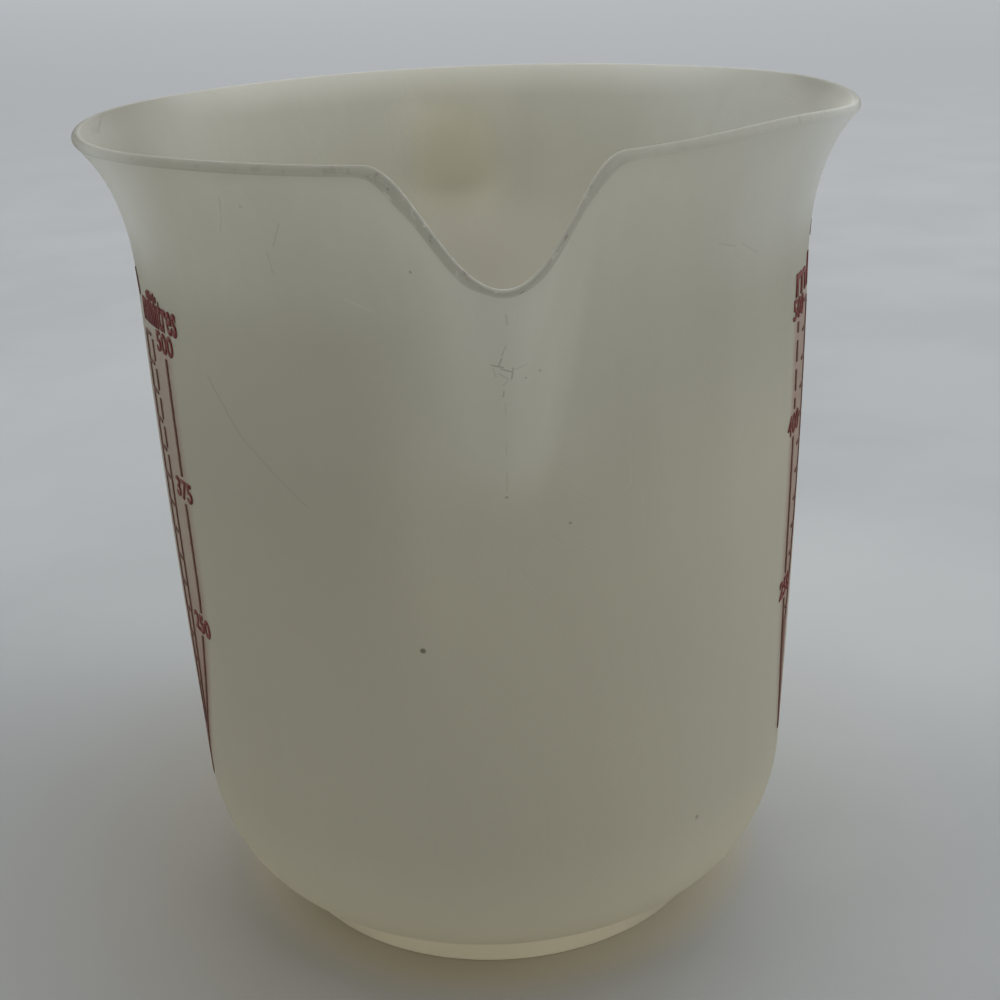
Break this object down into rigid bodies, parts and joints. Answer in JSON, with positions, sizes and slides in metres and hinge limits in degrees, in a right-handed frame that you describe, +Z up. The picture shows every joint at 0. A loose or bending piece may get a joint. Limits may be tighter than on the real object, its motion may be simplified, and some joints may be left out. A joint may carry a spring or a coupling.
{
  "type": "measuring jug",
  "caption": "Translucent plastic measuring jug with a flared rim, a dipped pouring lip, a loop handle, a low foot ring and printed side scales.",
  "frame": {"origin": "on the table under the middle of the whole outline, lip and handle included", "axes": "+Z up, -Y the way the pouring lip points, +Y towards the handle, +X the jug's right as seen from the lip"},
  "size_m": [0.104, 0.1368, 0.1155],
  "materials": {
    "shell_plastic": "satin, translucent, slightly yellowed natural plastic with fine scuffs",
    "handle_plastic": "satin, translucent, yellower where it is thick",
    "ink": "dark red screen print, slightly worn"
  },
  "bodies": {
    "root": {"jug_body": "shell_plastic", "handle": "handle_plastic", "left_scale_print": "ink", "right_scale_print": "ink"}
  },
  "joints": []
}
